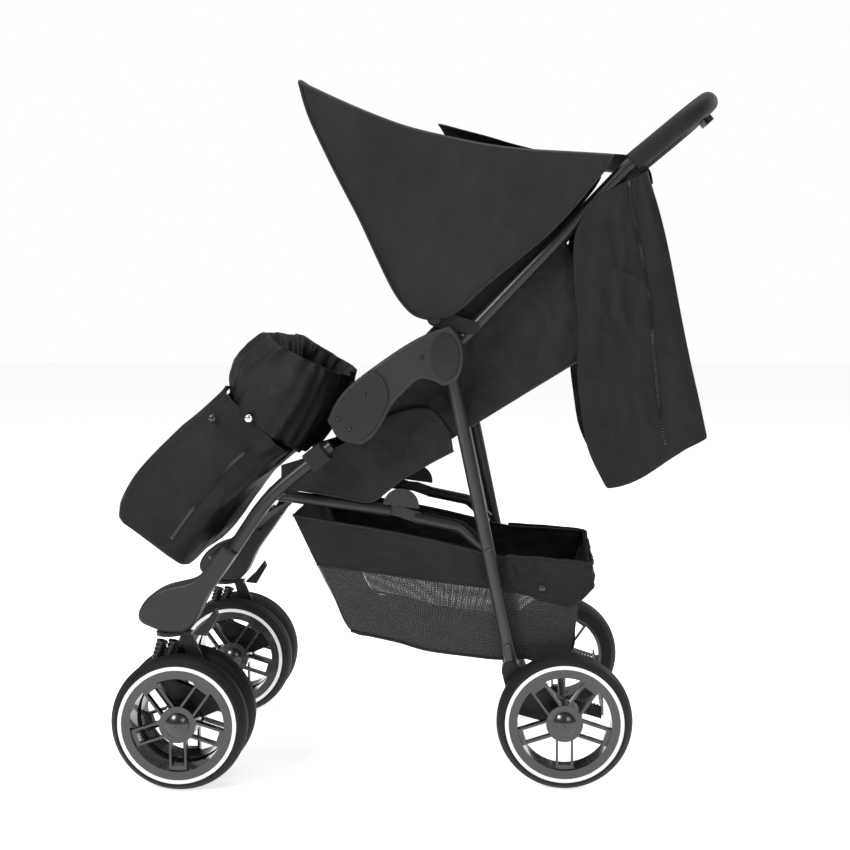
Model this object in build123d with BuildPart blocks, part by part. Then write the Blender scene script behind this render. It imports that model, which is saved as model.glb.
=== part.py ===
from build123d import *
import math
import os

os.makedirs("parts", exist_ok=True)

# Folding pushchair with twin front casters.  Millimetres, +Z up, front towards -X, its left side towards -Y.
# The origin is on the ground, midway along the length and on the middle plane.

# Wheels
wheel_radius = 100
tyre_width = 42
rim_radius = 74
ring_radius = 87
ring_depth = 2
hub_radius = 27
hub_cap_radius = 17
hub_cap_rise = 6
spoke_width = 3.4
spoke_depth = 12
spoke_pairs = 5
spoke_gap = 22
axle_radius = 4
rear_axle_radius = 6

# Running clearances
shaft_clearance = 0.05
side_clearance = 0.5

# Layout
rear_axle_x = 229
wheelbase = 564
rear_wheel_y = 206
caster_y = 196.5
twin_width = 105
front_axle_x = rear_axle_x - wheelbase

# Fold pivot: hub of the armrests, rear legs and push bar
hub_x = 56
hub_z = 636
hub_pin_radius = 6
lug_radius = 15

# Tubes
tube_radius = 10
tube_wall = 1.5
leg_plane = 197
inner_plane = 170
rail_plane = 144

# Push bar
push_angle = 46.2
push_lower = 373
grip_angle = 39.4
grip_reach = 161
push_half_width = 168
grip_radius = 15
corner_radius = 62
trigger_length = 70
trigger_width = 14
trigger_travel = 4

# Front casters
swivel_x = front_axle_x - 20
housing_bottom_z = 2 * wheel_radius + 29
crown_thickness = 6
swivel_radius = 7
swivel_stem = 45
arm_pin_radius = 3
arm_pivot_x = front_axle_x + 50
arm_pivot_z = wheel_radius + 18
spring_radius = 8.5
spring_wire = 1.5
spring_length = 50
spring_lean = 16
spring_pitch = 18

# Seat frame
rail_front_x = -212
rail_front_z = 426
rail_hinge_x = -15
rail_hinge_z = 400
rail_end_x = 108
rail_end_z = 347
rail_radius = 9

# Seat
seat_half_width = 131
panel_inner = 153.6
panel_thickness = 3
seat_front = -190
seat_gap = 13
recline_x = -30
recline_z = 450
recline_angle = 31.6
back_length = 400
hinge_rod_radius = 6

# Canopy
canopy_pivot_x = hub_x - 17
canopy_pivot_z = hub_z + 54
bow_plane = 184.6
bow_radius = 2.5
canopy_half_width = 190.5
canopy_wall = 3
hinge_plate = 1.5
tail_half_width = 151
curtain_plane = 181

# Basket and boot cover
cloth_wall = 3
boot_half_width = 155


def save(shape, name):
    shape.label = name
    export_step(shape, f"parts/{name}.step")


def save_pair(shape, name):
    save(shape, f"{name}_left")
    save(mirror(shape, about=Plane.XZ), f"{name}_right")


def both_sides(shape):
    return Compound(children=[shape, mirror(shape, about=Plane.XZ)])


def at_side(y):
    """The XZ plane at distance y on the left, with its normal pointing outwards."""
    return Plane.XZ.offset(y)


# ---------------------------------------------------------------- wheels


def tyre(centre_x, centre_y, dressed):
    """dressed is -1 or +1: the side of the wheel that carries the ring and the cap."""
    half = tyre_width / 2
    with BuildPart() as wheel:
        with BuildSketch(Plane.XY):
            with BuildLine():
                Polyline(
                    (rim_radius, -half),
                    (wheel_radius - 9, -half),
                    (wheel_radius - 3, -half + 7),
                    (wheel_radius - 0.4, -half + 14),
                    (wheel_radius, -half + 17),
                    (wheel_radius, half - 17),
                    (wheel_radius - 0.4, half - 14),
                    (wheel_radius - 3, half - 7),
                    (wheel_radius - 9, half),
                    (ring_radius, half),
                    (ring_radius, half - ring_depth),
                    (rim_radius, half - ring_depth),
                    close=True,
                )
            make_face()
        revolve(axis=Axis.Y)
    return place_wheel(wheel.part, centre_x, centre_y, dressed)


def place_wheel(shape, centre_x, centre_y, dressed):
    if dressed < 0:
        shape = mirror(shape, about=Plane.XZ)
    return shape.moved(Location((centre_x, centre_y, wheel_radius)))


def rim(centre_x, centre_y, dressed, bore):
    half = tyre_width / 2
    barrel = rim_radius - 5
    cap_seat = half - 3
    cap_edge = cap_seat + 4
    dome_radius = (hub_cap_radius**2 + hub_cap_rise**2) / (2 * hub_cap_rise)
    dome_centre = cap_edge + hub_cap_rise - dome_radius
    dome_middle = dome_centre + math.sqrt(dome_radius**2 - (hub_cap_radius / 2) ** 2)
    with BuildPart() as wheel:
        with BuildSketch(Plane.XY):
            Polygon(
                (barrel, -half),
                (rim_radius, -half),
                (rim_radius, half - ring_depth),
                (ring_radius, half - ring_depth),
                (ring_radius, half),
                (barrel, half),
                align=None,
            )
        revolve(axis=Axis.Y)
        with BuildSketch(Plane.XY):
            with BuildLine():
                Polyline(
                    (0, cap_edge + hub_cap_rise),
                    (0, -half),
                    (hub_radius, -half),
                    (hub_radius, cap_seat),
                    (hub_cap_radius, cap_seat),
                    (hub_cap_radius, cap_edge),
                )
                ThreePointArc(
                    (hub_cap_radius, cap_edge),
                    (hub_cap_radius / 2, dome_middle),
                    (0, cap_edge + hub_cap_rise),
                )
            make_face()
        revolve(axis=Axis.Y)
        with BuildSketch(Plane.XZ.offset(spoke_depth - half + 4)):
            with PolarLocations(0, spoke_pairs, start_angle=-90):
                with Locations((hub_radius / 2 + barrel / 2, spoke_gap / 2)):
                    Rectangle(barrel - hub_radius + 6, spoke_width)
                with Locations((hub_radius / 2 + barrel / 2, -spoke_gap / 2)):
                    Rectangle(barrel - hub_radius + 6, spoke_width)
                with Locations((barrel - 3, 0)):
                    Rectangle(9, spoke_gap)
        extrude(amount=-spoke_depth)
        with BuildSketch(Plane.XZ.offset(half)):
            Circle(bore)
        extrude(amount=-tyre_width + 4, mode=Mode.SUBTRACT)
    return place_wheel(wheel.part, centre_x, centre_y, dressed)


twin_offset = (twin_width - tyre_width) / 2
wheel_places = {
    "front_left_outer": (front_axle_x, -caster_y - twin_offset, -1, axle_radius),
    "front_left_inner": (front_axle_x, -caster_y + twin_offset, 1, axle_radius),
    "front_right_inner": (front_axle_x, caster_y - twin_offset, -1, axle_radius),
    "front_right_outer": (front_axle_x, caster_y + twin_offset, 1, axle_radius),
    "rear_left": (rear_axle_x, -rear_wheel_y, -1, rear_axle_radius),
    "rear_right": (rear_axle_x, rear_wheel_y, 1, rear_axle_radius),
}
for place, (x, y, dressed, shaft) in wheel_places.items():
    save(tyre(x, y, dressed), f"tyre_{place}")
    save(rim(x, y, dressed, shaft + shaft_clearance), f"rim_{place}")


# ---------------------------------------------------------------- front casters

housing_side = 22
arm_plate_inner = 4
arm_plate_thickness = 4
web_half = 3.4
seat_z = housing_bottom_z - crown_thickness - spring_length - 2
lean = math.tan(math.radians(spring_lean))
spring_tops = (swivel_x - spring_pitch / 2, swivel_x + spring_pitch / 2)
spring_middles = [x - lean * spring_length / 2 for x in spring_tops]

with BuildPart() as crown:
    with BuildSketch(Plane.XY.offset(housing_bottom_z - crown_thickness)):
        with Locations((swivel_x, -caster_y)):
            Circle(20)
        with Locations((swivel_x + 14, -caster_y)):
            Rectangle(38, 2 * web_half + 8)
    extrude(amount=crown_thickness - 0.5)
    with BuildSketch(Plane.XY.offset(housing_bottom_z - 0.5)):
        with Locations((swivel_x, -caster_y)):
            Circle(swivel_radius)
    extrude(amount=swivel_stem)
    with BuildSketch(at_side(caster_y - web_half)):
        with BuildLine():
            Polyline(
                (swivel_x + 16, housing_bottom_z - crown_thickness),
                (swivel_x + 33, housing_bottom_z - crown_thickness),
                (arm_pivot_x + 8, arm_pivot_z + 6),
                (arm_pivot_x - 9, arm_pivot_z + 2),
                (swivel_x + 28, arm_pivot_z + 62),
                close=True,
            )
        make_face()
        with Locations((arm_pivot_x, arm_pivot_z)):
            Circle(9)
    extrude(amount=2 * web_half)
    with BuildSketch(at_side(caster_y - 8.2)):
        with Locations((arm_pivot_x, arm_pivot_z)):
            Circle(arm_pin_radius)
    extrude(amount=16.4)
save_pair(crown.part, "swivel_crown")

with BuildPart() as arm:
    with BuildSketch(at_side(caster_y - arm_plate_inner)) as arm_outline:
        with Locations((arm_pivot_x, arm_pivot_z)):
            Circle(8)
        with Locations((front_axle_x, wheel_radius)):
            Circle(11)
        with Locations((spring_tops[0] - lean * spring_length - 6, seat_z - 8)):
            Circle(7)
        make_hull()
    extrude(amount=-arm_plate_thickness)
    with BuildSketch(at_side(caster_y + arm_plate_inner)):
        add(arm_outline.sketch_local)
    extrude(amount=arm_plate_thickness)
    with BuildSketch(at_side(caster_y - 9)):
        with Locations((front_axle_x, wheel_radius)):
            Circle(11)
    extrude(amount=18)
    with BuildSketch(Plane.XY.offset(seat_z)):
        with Locations((sum(spring_tops) / 2 - lean * spring_length, -caster_y)):
            SlotOverall(2 * spring_radius + spring_pitch + 2, 18)
    extrude(amount=-9)
    with BuildSketch(at_side(caster_y - 10)):
        with Locations((front_axle_x, wheel_radius)):
            Circle(axle_radius + shaft_clearance)
        with Locations((arm_pivot_x, arm_pivot_z)):
            Circle(arm_pin_radius + shaft_clearance)
    extrude(amount=20, mode=Mode.SUBTRACT)
save_pair(arm.part, "suspension_arm")

with BuildPart() as springs:
    for top in spring_tops:
        slope = Plane(
            origin=(top - lean * spring_length, -caster_y, seat_z + 2),
            x_dir=(0, 1, 0),
            z_dir=(lean, 0, 1),
        )
        with BuildSketch(slope):
            Circle(spring_radius - 2)
            Circle(spring_radius - 4, mode=Mode.SUBTRACT)
        extrude(amount=spring_length - 8)
        for turn in range(7):
            with BuildSketch(slope.offset(1 + turn * (spring_length - 12) / 6)):
                Circle(spring_radius)
                Circle(spring_radius - 4, mode=Mode.SUBTRACT)
            extrude(amount=2 * spring_wire)
save_pair(springs.part, "front_springs")

axle_half = twin_width / 2 - 8
with BuildPart() as front_axle:
    with BuildSketch(at_side(caster_y - axle_half)):
        with Locations((front_axle_x, wheel_radius)):
            Circle(axle_radius)
    extrude(amount=2 * axle_half)
save_pair(front_axle.part, "front_axle")

# ---------------------------------------------------------------- front legs and their housings

leg_foot = (swivel_x + 93, housing_bottom_z + 117)
leg_knee = (swivel_x + 149, housing_bottom_z + 201)
leg_top = (hub_x - 168, hub_z - 131)
shin = math.dist(leg_foot, leg_knee)
shin_angle = math.atan2(leg_knee[1] - leg_foot[1], leg_knee[0] - leg_foot[0])
thigh_angle = math.atan2(leg_top[1] - leg_knee[1], leg_top[0] - leg_knee[0])
leg_bend = 0.4 * shin / math.tan(abs(shin_angle - thigh_angle) / 2)
with BuildPart() as front_leg:
    with BuildLine() as leg_line:
        FilletPolyline(*[(x, -leg_plane, z) for x, z in (leg_top, leg_knee, leg_foot)], radius=leg_bend)
    with BuildSketch(Plane(origin=leg_line.line @ 0, z_dir=leg_line.line % 0)):
        Circle(tube_radius)
        Circle(tube_radius - tube_wall, mode=Mode.SUBTRACT)
    sweep()
save_pair(front_leg.part, "front_leg")
with BuildPart() as leg_room:
    with BuildSketch(Plane(origin=leg_line.line @ 0, z_dir=leg_line.line % 0)):
        Circle(tube_radius + shaft_clearance)
    sweep(path=leg_line.line)


def from_swivel(*points):
    return [(swivel_x + x, housing_bottom_z + z) for x, z in points]


with BuildPart() as housing:
    with BuildSketch(at_side(leg_plane - housing_side)):
        with BuildLine():
            Polyline(*from_swivel((104, 117), (84, 130), (55, 93)))
            Spline(*from_swivel((55, 93), (33, 76), (5, 69), (-19, 59), (-36, 42), (-42, 23), (-33, 12)))
            Polyline(*from_swivel((-33, 12), (-16, 5), (3, 0), (24, 0)))
            Spline(*from_swivel((24, 0), (37, 11), (55, 45), (79, 81), (104, 117)))
        make_face()
    extrude(amount=2 * housing_side)
    fillet(housing.part.edges().filter_by(Axis.Y, reverse=True).group_by(Axis.Y)[0], 6)
    fillet(housing.part.edges().filter_by(Axis.Y, reverse=True).group_by(Axis.Y)[-1], 6)
    add(leg_room.part, mode=Mode.SUBTRACT)
    with BuildSketch(Plane.XY.offset(housing_bottom_z - 1)):
        with Locations((swivel_x, -caster_y)):
            Circle(swivel_radius + shaft_clearance)
    extrude(amount=swivel_stem + 2, mode=Mode.SUBTRACT)
save_pair(housing.part, "front_housing")

with BuildPart() as lock:
    with BuildSketch(Plane.XZ.offset(leg_plane - 6)):
        with BuildLine():
            Polyline(*from_swivel((37, -5), (55, -7), (73, 23), (69, 33), (55, 15), (37, -2)), close=True)
        make_face()
    extrude(amount=12)
save_pair(lock.part, "swivel_lock")

with BuildPart() as collar:
    with BuildSketch(Plane(origin=leg_line.line @ 0.12, z_dir=leg_line.line % 0.12)):
        Rectangle(30, 32)
        Circle(tube_radius + shaft_clearance, mode=Mode.SUBTRACT)
    extrude(amount=16, both=True)
    chamfer(collar.part.edges().filter_by(GeomType.LINE), 2)
save(both_sides(collar.part), "leg_collars")

with BuildPart() as footrest:
    tread = Plane(origin=(leg_foot[0], 0, leg_foot[1] + 6), x_dir=(0, 1, 0), z_dir=(-0.5, 0, 0.87))
    with BuildSketch(tread):
        RectangleRounded(2 * (leg_plane - housing_side - 0.3), 90, 12)
    extrude(amount=5)
save(footrest.part, "footrest")

# ---------------------------------------------------------------- armrests

arm_inner = 187.5
arm_thickness = 32
pod_rise = 4

def from_hub(*points):
    return [(hub_x + x, hub_z + z) for x, z in points]


arm_hollow = [(-36, -33), (-21, -35), (-6, -42)]
with BuildPart() as armrest:
    with BuildSketch(at_side(arm_inner)):
        with BuildLine():
            Polyline(*from_hub((-171, -95), (-147, -124), (-122, -128)))
            Spline(*from_hub((-122, -128), (-96, -104), (-77, -70), (-56, -48), *arm_hollow))
            Spline(*from_hub((-6, -42), (14, -35), (24, -14), (24, 15), (6, 43)))
            Spline(*from_hub((6, 43), (-20, 35), (-64, 12), (-103, -15), (-146, -50), (-171, -95)))
        make_face()
    extrude(amount=arm_thickness)
    fillet(armrest.part.edges().filter_by(Axis.Y, reverse=True).group_by(Axis.Y)[0], 4)
    add(leg_room.part, mode=Mode.SUBTRACT)
    with BuildSketch(at_side(arm_inner - 1)):
        with Locations((hub_x, hub_z)):
            Circle(hub_pin_radius + shaft_clearance)
    extrude(amount=18, mode=Mode.SUBTRACT)
    with BuildSketch(at_side(arm_inner + arm_thickness - 3)):
        with Locations((hub_x, hub_z)):
            Ellipse(20, 33)
    extrude(amount=4, mode=Mode.SUBTRACT)
save_pair(armrest.part, "armrest")

pod_back = [(-83, -51), (-92, -30), (-107, -20)]
with BuildPart() as pod:
    with BuildSketch(at_side(arm_inner + arm_thickness)):
        with BuildLine():
            Polyline(*from_hub((-107, -20), (-142, -50), (-170, -91), (-160, -112)))
            Spline(*from_hub((-160, -112), (-137, -124), (-111, -112), (-90, -81), *pod_back))
        make_face()
    extrude(amount=pod_rise)
save(both_sides(pod.part), "pod_covers")

with BuildPart() as medallion:
    with BuildSketch(at_side(arm_inner + arm_thickness - 3)):
        with Locations((hub_x, hub_z)):
            Ellipse(19.5, 32.5)
    extrude(amount=5)
    with BuildSketch(at_side(arm_inner + arm_thickness + 1)):
        with Locations((hub_x, hub_z)):
            Ellipse(16, 28)
            with PolarLocations(10, 10):
                SlotOverall(7, 2.4, mode=Mode.SUBTRACT)
    extrude(amount=2, mode=Mode.SUBTRACT)
save(both_sides(medallion.part), "hub_medallions")

pin_inner = rail_plane + 12
with BuildPart() as hub_pin:
    with BuildSketch(at_side(pin_inner)):
        with Locations((hub_x, hub_z)):
            Circle(hub_pin_radius)
    extrude(amount=arm_inner + arm_thickness / 2 - pin_inner)
    with BuildSketch(at_side(pin_inner)):
        with Locations((hub_x, hub_z)):
            Circle(hub_pin_radius + 3)
    extrude(amount=2.5)
rivet_places = [(-117, -54, pod_rise), (-155, -90, pod_rise), (-138, -105, pod_rise), (-34, -2, 0)]
with BuildPart() as rivets:
    for x, z, rise in rivet_places:
        with BuildSketch(at_side(arm_inner + arm_thickness + rise)):
            with Locations((hub_x + x, hub_z + z)):
                Circle(3.5)
        extrude(amount=2.2, taper=25)
save(both_sides(rivets.part + hub_pin.part), "armrest_pins")

# ---------------------------------------------------------------- push bar

push_dir = Vector(math.cos(math.radians(push_angle)), 0, math.sin(math.radians(push_angle)))
grip_dir = Vector(math.cos(math.radians(grip_angle)), 0, math.sin(math.radians(grip_angle)))
hub_centre = Vector(hub_x, -push_half_width, hub_z)
tube_start = hub_centre + push_dir * 26
tube_bend = hub_centre + push_dir * push_lower
tube_end = tube_bend + grip_dir * grip_reach


def other_side(point):
    return Vector(point.X, -point.Y, point.Z)


with BuildPart() as push_tube:
    with BuildLine() as push_line:
        FilletPolyline(
            tube_start,
            tube_bend,
            tube_end,
            other_side(tube_end),
            other_side(tube_bend),
            other_side(tube_start),
            radius=corner_radius,
        )
    with BuildSketch(Plane(origin=tube_start, z_dir=push_dir)):
        Circle(tube_radius)
    sweep()
    for side in (-1, 1):
        lug_plane = Plane(
            origin=(hub_x, side * (inner_plane + 3), hub_z), x_dir=push_dir, z_dir=(0, -1, 0)
        )
        with BuildSketch(lug_plane):
            with Locations((0, 0)):
                Circle(lug_radius)
            with Locations((34, 0)):
                Circle(tube_radius - 1)
            make_hull()
            Circle(hub_pin_radius + shaft_clearance, mode=Mode.SUBTRACT)
        extrude(amount=3, both=True)
save(push_tube.part, "push_tube")

grip_start = tube_bend + grip_dir * 14
trigger_plane = Plane(
    origin=(tube_end.X, 0, tube_end.Z), x_dir=(0, 1, 0), z_dir=grip_dir.rotate(Axis.Y, 90)
)
with BuildPart() as grip:
    with BuildLine() as grip_line:
        FilletPolyline(
            grip_start, tube_end, other_side(tube_end), other_side(grip_start), radius=corner_radius
        )
    with BuildSketch(Plane(origin=grip_start, z_dir=grip_dir)):
        Circle(grip_radius)
        Circle(tube_radius, mode=Mode.SUBTRACT)
    sweep()
    with BuildSketch(trigger_plane):
        SlotOverall(trigger_length + 2 * side_clearance, trigger_width + 2 * side_clearance)
    extrude(amount=grip_radius + 1, mode=Mode.SUBTRACT)
save(grip.part, "grip")

with BuildPart() as release:
    with BuildSketch(trigger_plane.offset(tube_radius + trigger_travel + side_clearance)):
        SlotOverall(trigger_length, trigger_width)
    extrude(amount=9)
save(release.part, "release_trigger")

# ---------------------------------------------------------------- rear legs, axle and brake

rear_lean = 11.67
leg_dir = Vector(math.sin(math.radians(rear_lean)), 0, -math.cos(math.radians(rear_lean)))
rear_hub = Vector(hub_x, -inner_plane, hub_z)
rear_leg_length = (hub_z - wheel_radius - 46) / math.cos(math.radians(rear_lean))
with BuildPart() as rear_leg:
    with BuildSketch(Plane(origin=rear_hub + leg_dir * 26, z_dir=leg_dir)):
        Circle(tube_radius)
    extrude(amount=rear_leg_length - 26)
    lug_plane = Plane(origin=(hub_x, -inner_plane + 6, hub_z), x_dir=leg_dir, z_dir=(0, -1, 0))
    with BuildSketch(lug_plane):
        Circle(lug_radius)
        with Locations((34, 0)):
            Circle(tube_radius - 1)
        make_hull()
        Circle(hub_pin_radius + shaft_clearance, mode=Mode.SUBTRACT)
    extrude(amount=3, both=True)
save_pair(rear_leg.part, "rear_leg")

rear_housing_inner = inner_plane - 11
rear_housing_width = 24
with BuildPart() as rear_housing:
    with BuildSketch(at_side(rear_housing_inner)):
        with Locations((rear_axle_x - 80, wheel_radius + 68)):
            Circle(13)
        with Locations((rear_axle_x - 63, wheel_radius + 18)):
            Circle(17)
        with Locations((rear_axle_x, wheel_radius)):
            Circle(16)
        make_hull()
    extrude(amount=rear_housing_width)
    with BuildSketch(Plane(origin=rear_hub, z_dir=leg_dir)):
        Circle(tube_radius + shaft_clearance)
    extrude(amount=rear_leg_length + 0.5, mode=Mode.SUBTRACT)
    with BuildSketch(at_side(rear_housing_inner - 1)):
        with Locations((rear_axle_x, wheel_radius)):
            Circle(rear_axle_radius + shaft_clearance)
    extrude(amount=rear_housing_width + 2, mode=Mode.SUBTRACT)
save(both_sides(rear_housing.part), "rear_housings")

rear_axle_half = rear_wheel_y + tyre_width / 2 - 9
with BuildPart() as rear_axle:
    with BuildSketch(at_side(-rear_axle_half)):
        with Locations((rear_axle_x, wheel_radius)):
            Circle(rear_axle_radius)
    extrude(amount=2 * rear_axle_half)
save(rear_axle.part, "rear_axle")

rear_rivet_places = [rail_end_z, wheel_radius + 105]
with BuildPart() as rear_rivets:
    for z in rear_rivet_places:
        along = (z - hub_z) / leg_dir.Z
        with BuildSketch(at_side(inner_plane + tube_radius - 0.4)):
            with Locations((hub_x + leg_dir.X * along, z)):
                Circle(4)
        extrude(amount=2.4, taper=25)
save(both_sides(rear_rivets.part - mirror(rear_leg.part, about=Plane.XZ) - rear_leg.part), "rear_rivets")

pedal_inner = rear_housing_inner - 20
link_x = 286
ridge_step = 5
ridge_drop = ridge_step * 17 / (link_x - rear_axle_x - 8)
with BuildPart() as pedal:
    with BuildSketch(at_side(pedal_inner)):
        with BuildLine():
            Polyline(
                (rear_axle_x - 4, wheel_radius + 12),
                (rear_axle_x + 8, wheel_radius + 20),
                (link_x, wheel_radius + 3),
                (link_x, wheel_radius - 11),
                (rear_axle_x + 12, wheel_radius + 2),
                close=True,
            )
        make_face()
        with Locations((rear_axle_x, wheel_radius)):
            Circle(12)
    extrude(amount=19)
    with BuildSketch(at_side(pedal_inner)):
        for step in range(9):
            with Locations((rear_axle_x + 12 + step * ridge_step, wheel_radius + 18.6 - step * ridge_drop)):
                Circle(1.6)
    extrude(amount=19)
    with BuildSketch(at_side(pedal_inner)):
        with Locations((rear_axle_x, wheel_radius)):
            Circle(rear_axle_radius + shaft_clearance)
    extrude(amount=19, mode=Mode.SUBTRACT)
save(both_sides(pedal.part), "brake_pedals")

with BuildPart() as brake_link:
    with BuildSketch(Plane.YZ.offset(link_x)):
        with Locations((0, wheel_radius + 5)):
            RectangleRounded(2 * (pedal_inner + 19), 24, 4)
    extrude(amount=3)
save(brake_link.part, "brake_link")

# ---------------------------------------------------------------- seat frame rails

rail_slope = math.atan2(rail_hinge_z - rail_front_z, rail_hinge_x - rail_front_x)
with BuildPart() as rail_front:
    with BuildLine() as rail_line:
        FilletPolyline(
            (rail_hinge_x - 16, -rail_plane, rail_hinge_z + 16 * math.tan(-rail_slope)),
            (rail_front_x, -rail_plane, rail_front_z),
            (rail_front_x, rail_plane, rail_front_z),
            (rail_hinge_x - 16, rail_plane, rail_hinge_z + 16 * math.tan(-rail_slope)),
            radius=24,
        )
    with BuildSketch(Plane(origin=rail_line.line @ 0, z_dir=rail_line.line % 0)):
        Circle(rail_radius)
    sweep()
    for side in (-1, 1):
        with BuildSketch(Plane.XZ.offset(side * rail_plane)):
            with Locations((rail_hinge_x - 30, rail_hinge_z + 5)):
                Rectangle(26, 10)
            with Locations((rail_hinge_x, rail_hinge_z)):
                Circle(8)
            make_hull()
            with Locations((rail_hinge_x, rail_hinge_z)):
                Circle(3, mode=Mode.SUBTRACT)
        extrude(amount=2.5, both=True)
save(rail_front.part, "rail_front")

hinge_cover_radius = 27
with BuildPart() as hinge_cover:
    with BuildSketch(at_side(rail_plane + 6)):
        with Locations(Location((rail_hinge_x, rail_hinge_z + 9), (0, 0, 1), math.degrees(rail_slope))):
            Circle(hinge_cover_radius)
            with Locations((0, -hinge_cover_radius)):
                Rectangle(2 * hinge_cover_radius, 2 * hinge_cover_radius, mode=Mode.SUBTRACT)
    extrude(amount=3.2)
    with BuildSketch(at_side(rail_plane)):
        with Locations((rail_hinge_x - 22, rail_hinge_z + 13)):
            Circle(3)
    extrude(amount=6)
    add(rail_front.part, mode=Mode.SUBTRACT)
save(both_sides(hinge_cover.part), "rail_hinge_covers")

with BuildPart() as rail_rear:
    with BuildLine() as rear_line:
        FilletPolyline(
            (rail_hinge_x + 20, -rail_plane, rail_hinge_z - 8),
            (rail_hinge_x + 88, -rail_plane, rail_hinge_z - 22),
            (rail_end_x, -rail_plane, rail_end_z),
            radius=24,
        )
    with BuildSketch(Plane(origin=rear_line.line @ 0, z_dir=rear_line.line % 0)):
        Circle(rail_radius)
    sweep()
    for ear in (-1, 1):
        with BuildSketch(at_side(rail_plane + ear * 4.3)):
            with Locations((rail_hinge_x, rail_hinge_z)):
                Circle(8)
            with Locations((rail_hinge_x + 26, rail_hinge_z - 9)):
                Circle(8)
            make_hull()
        extrude(amount=1.4, both=True)
    with BuildSketch(at_side(rail_plane - 5.5)):
        with Locations((rail_hinge_x, rail_hinge_z)):
            Circle(3 - shaft_clearance)
    extrude(amount=11)
save(both_sides(rail_rear.part), "rail_rear")

# ---------------------------------------------------------------- seat

with BuildPart() as cushion:
    with BuildSketch(Plane.XY.offset(438)):
        with Locations(((seat_front + recline_x) / 2 - seat_gap / 2, 0)):
            RectangleRounded(recline_x - seat_gap - seat_front, 2 * seat_half_width, 25)
    extrude(amount=34)
    fillet(cushion.part.edges().group_by(Axis.Z)[-1], 12)
save(cushion.part, "seat_cushion")

panel_outline = [
    (-196, 436), (-60, 412), (-17, 446), (64, 494), (40, 560), (-10, 556), (-100, 500), (-196, 470)
]
with BuildPart() as panel:
    with BuildSketch(at_side(panel_inner)):
        with BuildLine():
            Polyline(*panel_outline, close=True)
        make_face()
    extrude(amount=panel_thickness)
save(both_sides(panel.part), "seat_sides")

back_plane = Plane(
    origin=(recline_x, 0, recline_z),
    x_dir=(math.cos(math.radians(recline_angle)), 0, math.sin(math.radians(recline_angle))),
    z_dir=(-math.sin(math.radians(recline_angle)), 0, math.cos(math.radians(recline_angle))),
)
wing_start = 92
with BuildPart() as back_board:
    with BuildSketch(back_plane.offset(4)):
        with Locations((back_length / 2, 0)):
            Rectangle(back_length, 2 * seat_half_width - 2)
        with Locations(((back_length + wing_start) / 2, 0)):
            Rectangle(back_length - wing_start, 2 * rail_plane + 18)
    extrude(amount=8)
    for side in (-1, 1):
        with BuildSketch(back_plane.offset(4)):
            with Locations(((back_length + wing_start) / 2, side * (rail_plane + 7.5))):
                Rectangle(back_length - wing_start, 3)
        extrude(amount=70)
    with BuildSketch(at_side(-seat_half_width + 1)):
        with Locations((recline_x, recline_z)):
            Circle(hinge_rod_radius)
    extrude(amount=2 * seat_half_width - 2)
save(back_board.part, "back_shell")

with BuildPart() as back_cushion:
    with BuildSketch(back_plane.offset(12.3)):
        with Locations((back_length / 2 + 14, 0)):
            RectangleRounded(back_length - 40, 2 * seat_half_width - 4, 30)
    extrude(amount=26)
    fillet(back_cushion.part.faces().sort_by(Axis(back_plane.origin, back_plane.z_dir))[-1].edges(), 10)
save(back_cushion.part, "back_cushion")

strap_width = 25
with BuildPart() as harness:
    with BuildSketch(back_plane.offset(38.5)):
        for side in (-1, 1):
            with Locations((165, side * 45)):
                Rectangle(250, strap_width)
        with Locations((52, 0)):
            Rectangle(strap_width, 2 * seat_half_width - 20)
    extrude(amount=2.4)
save(harness.part, "harness_straps")

with BuildPart() as crotch_strap:
    with BuildSketch(Plane.XY.offset(472.3)):
        with Locations((-84, 0)):
            Rectangle(70, strap_width)
    extrude(amount=2.4)
save(crotch_strap.part, "crotch_strap")

with BuildPart() as buckle:
    with BuildSketch(Plane.XY.offset(475)):
        with Locations((-66, 0)):
            RectangleRounded(46, 54, 10)
            Circle(9 + side_clearance, mode=Mode.SUBTRACT)
    extrude(amount=13)
    with BuildSketch(Plane.XY.offset(475)):
        with Locations((-66, 0)):
            RectangleRounded(44, 52, 9)
    extrude(amount=3)
save(buckle.part, "buckle")

with BuildPart() as buckle_button:
    with BuildSketch(Plane.XY.offset(482)):
        with Locations((-66, 0)):
            Circle(9)
    extrude(amount=8)
save(buckle_button.part, "buckle_button")

# ---------------------------------------------------------------- canopy

tip = (hub_x - 206, hub_z + 387.5)
with BuildPart() as bow:
    with BuildLine() as bow_line:
        FilletPolyline(
            (canopy_pivot_x, -bow_plane, canopy_pivot_z),
            (tip[0], -bow_plane, tip[1]),
            (tip[0], bow_plane, tip[1]),
            (canopy_pivot_x, bow_plane, canopy_pivot_z),
            radius=30,
        )
    with BuildSketch(Plane(origin=bow_line.line @ 0, z_dir=bow_line.line % 0)):
        Circle(bow_radius)
    sweep()
    for side in (-1, 1):
        with BuildSketch(Plane.XZ.offset(side * bow_plane)):
            with Locations((canopy_pivot_x, canopy_pivot_z)):
                Circle(9)
        extrude(amount=bow_radius + 0.1, both=True)
save(bow.part, "canopy_bow")

with BuildPart() as canopy_hinge:
    with BuildSketch(at_side(bow_plane - bow_radius - hinge_plate - 0.3)):
        with Locations((canopy_pivot_x, canopy_pivot_z)):
            Circle(12)
        with Locations((hub_x + 38, hub_z + 40)):
            Circle(10)
        make_hull()
    extrude(amount=hinge_plate)
    with BuildSketch(at_side(push_half_width)):
        with Locations((hub_x + 38, hub_z + 40)):
            Circle(8)
    extrude(amount=bow_plane - bow_radius - hinge_plate - push_half_width)
    add(push_tube.part, mode=Mode.SUBTRACT)
save(both_sides(canopy_hinge.part), "canopy_hinges")

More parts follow.
